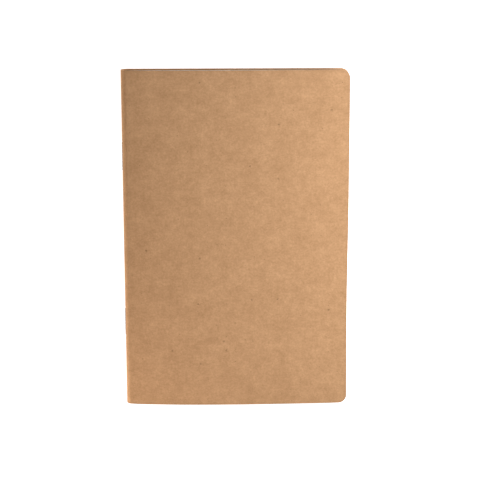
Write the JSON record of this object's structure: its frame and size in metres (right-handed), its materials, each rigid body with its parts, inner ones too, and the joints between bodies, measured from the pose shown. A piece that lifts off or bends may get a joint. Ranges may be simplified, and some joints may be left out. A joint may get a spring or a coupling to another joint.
{
  "type": "pocket notebook",
  "caption": "Slim pocket notebook: a plain soft kraft card cover folded round nested page sheets, stapled through the spine, with rounded fore-edge corners.",
  "frame": {"origin": "on the outer face of the back cover, under the middle of the bounding box, with the notebook lying closed", "axes": "+Z through the thickness from the back cover to the front cover, +Y along the spine to the head of the pages, +X from the spine to the fore edge"},
  "size_m": [0.0952, 0.145, 0.0055],
  "materials": {
    "kraft_card": "matte",
    "page_paper": "matte",
    "staple_wire": "satin"
  },
  "bodies": {
    "root": {"cover_back": "kraft_card", "cover_spine": "kraft_card", "sheet_01_fold": "page_paper", "sheet_02_fold": "page_paper", "sheet_03_fold": "page_paper", "sheet_04_fold": "page_paper", "sheet_05_fold": "page_paper", "sheet_06_fold": "page_paper", "sheet_07_fold": "page_paper", "sheet_08_fold": "page_paper", "sheet_09_fold": "page_paper", "sheet_10_fold": "page_paper", "sheet_11_fold": "page_paper", "sheet_12_fold": "page_paper", "sheet_13_fold": "page_paper", "sheet_14_fold": "page_paper", "sheet_15_fold": "page_paper", "sheet_16_fold": "page_paper"},
    "front_cover": {"cover_front": "kraft_card"},
    "staples": {"staple_upper": "staple_wire", "staple_lower": "staple_wire"},
    "sheet_01_back": {"sheet_01_back_leaf": "page_paper"},
    "sheet_01_front": {"sheet_01_front_leaf": "page_paper"},
    "sheet_02_back": {"sheet_02_back_leaf": "page_paper"},
    "sheet_02_front": {"sheet_02_front_leaf": "page_paper"},
    "sheet_03_back": {"sheet_03_back_leaf": "page_paper"},
    "sheet_03_front": {"sheet_03_front_leaf": "page_paper"},
    "sheet_04_back": {"sheet_04_back_leaf": "page_paper"},
    "sheet_04_front": {"sheet_04_front_leaf": "page_paper"},
    "sheet_05_back": {"sheet_05_back_leaf": "page_paper"},
    "sheet_05_front": {"sheet_05_front_leaf": "page_paper"},
    "sheet_06_back": {"sheet_06_back_leaf": "page_paper"},
    "sheet_06_front": {"sheet_06_front_leaf": "page_paper"},
    "sheet_07_back": {"sheet_07_back_leaf": "page_paper"},
    "sheet_07_front": {"sheet_07_front_leaf": "page_paper"},
    "sheet_08_back": {"sheet_08_back_leaf": "page_paper"},
    "sheet_08_front": {"sheet_08_front_leaf": "page_paper"},
    "sheet_09_back": {"sheet_09_back_leaf": "page_paper"},
    "sheet_09_front": {"sheet_09_front_leaf": "page_paper"},
    "sheet_10_back": {"sheet_10_back_leaf": "page_paper"},
    "sheet_10_front": {"sheet_10_front_leaf": "page_paper"},
    "sheet_11_back": {"sheet_11_back_leaf": "page_paper"},
    "sheet_11_front": {"sheet_11_front_leaf": "page_paper"},
    "sheet_12_back": {"sheet_12_back_leaf": "page_paper"},
    "sheet_12_front": {"sheet_12_front_leaf": "page_paper"},
    "sheet_13_back": {"sheet_13_back_leaf": "page_paper"},
    "sheet_13_front": {"sheet_13_front_leaf": "page_paper"},
    "sheet_14_back": {"sheet_14_back_leaf": "page_paper"},
    "sheet_14_front": {"sheet_14_front_leaf": "page_paper"},
    "sheet_15_back": {"sheet_15_back_leaf": "page_paper"},
    "sheet_15_front": {"sheet_15_front_leaf": "page_paper"},
    "sheet_16_back": {"sheet_16_back_leaf": "page_paper"},
    "sheet_16_front": {"sheet_16_front_leaf": "page_paper"}
  },
  "joints": [
    {"name": "front_cover_hinge", "type": "hinge", "parent": "root", "child": "front_cover", "pos_m": [-0.04467, 0, 0.00273], "axis": [0, -1, 0], "range_deg": [0, 175], "deforming": ["cover_spine", "sheet_01_fold", "sheet_02_fold", "sheet_03_fold", "sheet_04_fold", "sheet_05_fold", "sheet_06_fold", "sheet_07_fold", "sheet_08_fold", "sheet_09_fold", "sheet_10_fold", "sheet_11_fold", "sheet_12_fold", "sheet_13_fold", "sheet_14_fold", "sheet_15_fold", "sheet_16_fold"]},
    {"name": "staple_swing", "type": "hinge", "parent": "root", "child": "staples", "pos_m": [-0.04467, 0, 0.00273], "axis": [0, -1, 0], "range_deg": [0, 87.5]},
    {"name": "sheet_01_back_turn", "type": "hinge", "parent": "root", "child": "sheet_01_back", "pos_m": [-0.04467, 0, 0.00273], "axis": [0, -1, 0], "range_deg": [0, 0.3151]},
    {"name": "sheet_01_front_turn", "type": "hinge", "parent": "sheet_01_back", "child": "sheet_01_front", "pos_m": [-0.04467, 0, 0.00273], "axis": [0, -1, 0], "range_deg": [0, 174.34]},
    {"name": "sheet_02_back_turn", "type": "hinge", "parent": "root", "child": "sheet_02_back", "pos_m": [-0.04467, 0, 0.00273], "axis": [0, -1, 0], "range_deg": [0, 0.7176]},
    {"name": "sheet_02_front_turn", "type": "hinge", "parent": "sheet_02_back", "child": "sheet_02_front", "pos_m": [-0.04467, 0, 0.00273], "axis": [0, -1, 0], "range_deg": [0, 173.5]},
    {"name": "sheet_03_back_turn", "type": "hinge", "parent": "root", "child": "sheet_03_back", "pos_m": [-0.04467, 0, 0.00273], "axis": [0, -1, 0], "range_deg": [0, 1.17]},
    {"name": "sheet_03_front_turn", "type": "hinge", "parent": "sheet_03_back", "child": "sheet_03_front", "pos_m": [-0.04467, 0, 0.00273], "axis": [0, -1, 0], "range_deg": [0, 172.53]},
    {"name": "sheet_04_back_turn", "type": "hinge", "parent": "root", "child": "sheet_04_back", "pos_m": [-0.04467, 0, 0.00273], "axis": [0, -1, 0], "range_deg": [0, 1.66]},
    {"name": "sheet_04_front_turn", "type": "hinge", "parent": "sheet_04_back", "child": "sheet_04_front", "pos_m": [-0.04467, 0, 0.00273], "axis": [0, -1, 0], "range_deg": [0, 171.52]},
    {"name": "sheet_05_back_turn", "type": "hinge", "parent": "root", "child": "sheet_05_back", "pos_m": [-0.04467, 0, 0.00273], "axis": [0, -1, 0], "range_deg": [0, 2.17]},
    {"name": "sheet_05_front_turn", "type": "hinge", "parent": "sheet_05_back", "child": "sheet_05_front", "pos_m": [-0.04467, 0, 0.00273], "axis": [0, -1, 0], "range_deg": [0, 170.45]},
    {"name": "sheet_06_back_turn", "type": "hinge", "parent": "root", "child": "sheet_06_back", "pos_m": [-0.04467, 0, 0.00273], "axis": [0, -1, 0], "range_deg": [0, 2.7]},
    {"name": "sheet_06_front_turn", "type": "hinge", "parent": "sheet_06_back", "child": "sheet_06_front", "pos_m": [-0.04467, 0, 0.00273], "axis": [0, -1, 0], "range_deg": [0, 169.33]},
    {"name": "sheet_07_back_turn", "type": "hinge", "parent": "root", "child": "sheet_07_back", "pos_m": [-0.04467, 0, 0.00273], "axis": [0, -1, 0], "range_deg": [0, 3.24]},
    {"name": "sheet_07_front_turn", "type": "hinge", "parent": "sheet_07_back", "child": "sheet_07_front", "pos_m": [-0.04467, 0, 0.00273], "axis": [0, -1, 0], "range_deg": [0, 168.19]},
    {"name": "sheet_08_back_turn", "type": "hinge", "parent": "root", "child": "sheet_08_back", "pos_m": [-0.04467, 0, 0.00273], "axis": [0, -1, 0], "range_deg": [0, 3.82]},
    {"name": "sheet_08_front_turn", "type": "hinge", "parent": "sheet_08_back", "child": "sheet_08_front", "pos_m": [-0.04467, 0, 0.00273], "axis": [0, -1, 0], "range_deg": [0, 167]},
    {"name": "sheet_09_back_turn", "type": "hinge", "parent": "root", "child": "sheet_09_back", "pos_m": [-0.04467, 0, 0.00273], "axis": [0, -1, 0], "range_deg": [0, 4.39]},
    {"name": "sheet_09_front_turn", "type": "hinge", "parent": "sheet_09_back", "child": "sheet_09_front", "pos_m": [-0.04467, 0, 0.00273], "axis": [0, -1, 0], "range_deg": [0, 165.78]},
    {"name": "sheet_10_back_turn", "type": "hinge", "parent": "root", "child": "sheet_10_back", "pos_m": [-0.04467, 0, 0.00273], "axis": [0, -1, 0], "range_deg": [0, 4.97]},
    {"name": "sheet_10_front_turn", "type": "hinge", "parent": "sheet_10_back", "child": "sheet_10_front", "pos_m": [-0.04467, 0, 0.00273], "axis": [0, -1, 0], "range_deg": [0, 164.55]},
    {"name": "sheet_11_back_turn", "type": "hinge", "parent": "root", "child": "sheet_11_back", "pos_m": [-0.04467, 0, 0.00273], "axis": [0, -1, 0], "range_deg": [0, 5.58]},
    {"name": "sheet_11_front_turn", "type": "hinge", "parent": "sheet_11_back", "child": "sheet_11_front", "pos_m": [-0.04467, 0, 0.00273], "axis": [0, -1, 0], "range_deg": [0, 163.28]},
    {"name": "sheet_12_back_turn", "type": "hinge", "parent": "root", "child": "sheet_12_back", "pos_m": [-0.04467, 0, 0.00273], "axis": [0, -1, 0], "range_deg": [0, 6.2]},
    {"name": "sheet_12_front_turn", "type": "hinge", "parent": "sheet_12_back", "child": "sheet_12_front", "pos_m": [-0.04467, 0, 0.00273], "axis": [0, -1, 0], "range_deg": [0, 162]},
    {"name": "sheet_13_back_turn", "type": "hinge", "parent": "root", "child": "sheet_13_back", "pos_m": [-0.04467, 0, 0.00273], "axis": [0, -1, 0], "range_deg": [0, 6.83]},
    {"name": "sheet_13_front_turn", "type": "hinge", "parent": "sheet_13_back", "child": "sheet_13_front", "pos_m": [-0.04467, 0, 0.00273], "axis": [0, -1, 0], "range_deg": [0, 160.67]},
    {"name": "sheet_14_back_turn", "type": "hinge", "parent": "root", "child": "sheet_14_back", "pos_m": [-0.04467, 0, 0.00273], "axis": [0, -1, 0], "range_deg": [0, 7.46]},
    {"name": "sheet_14_front_turn", "type": "hinge", "parent": "sheet_14_back", "child": "sheet_14_front", "pos_m": [-0.04467, 0, 0.00273], "axis": [0, -1, 0], "range_deg": [0, 159.34]},
    {"name": "sheet_15_back_turn", "type": "hinge", "parent": "root", "child": "sheet_15_back", "pos_m": [-0.04467, 0, 0.00273], "axis": [0, -1, 0], "range_deg": [0, 8.1]},
    {"name": "sheet_15_front_turn", "type": "hinge", "parent": "sheet_15_back", "child": "sheet_15_front", "pos_m": [-0.04467, 0, 0.00273], "axis": [0, -1, 0], "range_deg": [0, 157.99]},
    {"name": "sheet_16_back_turn", "type": "hinge", "parent": "root", "child": "sheet_16_back", "pos_m": [-0.04467, 0, 0.00273], "axis": [0, -1, 0], "range_deg": [0, 8.75]},
    {"name": "sheet_16_front_turn", "type": "hinge", "parent": "sheet_16_back", "child": "sheet_16_front", "pos_m": [-0.04467, 0, 0.00273], "axis": [0, -1, 0], "range_deg": [0, 156.63]}
  ],
  "couplings": [
    {"joint": "staple_swing", "follows": "front_cover_hinge", "ratio": 0.5},
    {"joint": "sheet_01_back_turn", "follows": "front_cover_hinge", "ratio": 0.0018},
    {"joint": "sheet_01_front_turn", "follows": "front_cover_hinge", "ratio": 0.9962},
    {"joint": "sheet_02_back_turn", "follows": "front_cover_hinge", "ratio": 0.0041},
    {"joint": "sheet_02_front_turn", "follows": "front_cover_hinge", "ratio": 0.9914},
    {"joint": "sheet_03_back_turn", "follows": "front_cover_hinge", "ratio": 0.0067},
    {"joint": "sheet_03_front_turn", "follows": "front_cover_hinge", "ratio": 0.9859},
    {"joint": "sheet_04_back_turn", "follows": "front_cover_hinge", "ratio": 0.0095},
    {"joint": "sheet_04_front_turn", "follows": "front_cover_hinge", "ratio": 0.9801},
    {"joint": "sheet_05_back_turn", "follows": "front_cover_hinge", "ratio": 0.0124},
    {"joint": "sheet_05_front_turn", "follows": "front_cover_hinge", "ratio": 0.974},
    {"joint": "sheet_06_back_turn", "follows": "front_cover_hinge", "ratio": 0.0154},
    {"joint": "sheet_06_front_turn", "follows": "front_cover_hinge", "ratio": 0.9676},
    {"joint": "sheet_07_back_turn", "follows": "front_cover_hinge", "ratio": 0.0185},
    {"joint": "sheet_07_front_turn", "follows": "front_cover_hinge", "ratio": 0.9611},
    {"joint": "sheet_08_back_turn", "follows": "front_cover_hinge", "ratio": 0.0218},
    {"joint": "sheet_08_front_turn", "follows": "front_cover_hinge", "ratio": 0.9543},
    {"joint": "sheet_09_back_turn", "follows": "front_cover_hinge", "ratio": 0.0251},
    {"joint": "sheet_09_front_turn", "follows": "front_cover_hinge", "ratio": 0.9473},
    {"joint": "sheet_10_back_turn", "follows": "front_cover_hinge", "ratio": 0.0284},
    {"joint": "sheet_10_front_turn", "follows": "front_cover_hinge", "ratio": 0.9403},
    {"joint": "sheet_11_back_turn", "follows": "front_cover_hinge", "ratio": 0.0319},
    {"joint": "sheet_11_front_turn", "follows": "front_cover_hinge", "ratio": 0.933},
    {"joint": "sheet_12_back_turn", "follows": "front_cover_hinge", "ratio": 0.0354},
    {"joint": "sheet_12_front_turn", "follows": "front_cover_hinge", "ratio": 0.9257},
    {"joint": "sheet_13_back_turn", "follows": "front_cover_hinge", "ratio": 0.039},
    {"joint": "sheet_13_front_turn", "follows": "front_cover_hinge", "ratio": 0.9181},
    {"joint": "sheet_14_back_turn", "follows": "front_cover_hinge", "ratio": 0.0426},
    {"joint": "sheet_14_front_turn", "follows": "front_cover_hinge", "ratio": 0.9105},
    {"joint": "sheet_15_back_turn", "follows": "front_cover_hinge", "ratio": 0.0463},
    {"joint": "sheet_15_front_turn", "follows": "front_cover_hinge", "ratio": 0.9028},
    {"joint": "sheet_16_back_turn", "follows": "front_cover_hinge", "ratio": 0.05},
    {"joint": "sheet_16_front_turn", "follows": "front_cover_hinge", "ratio": 0.895}
  ]
}
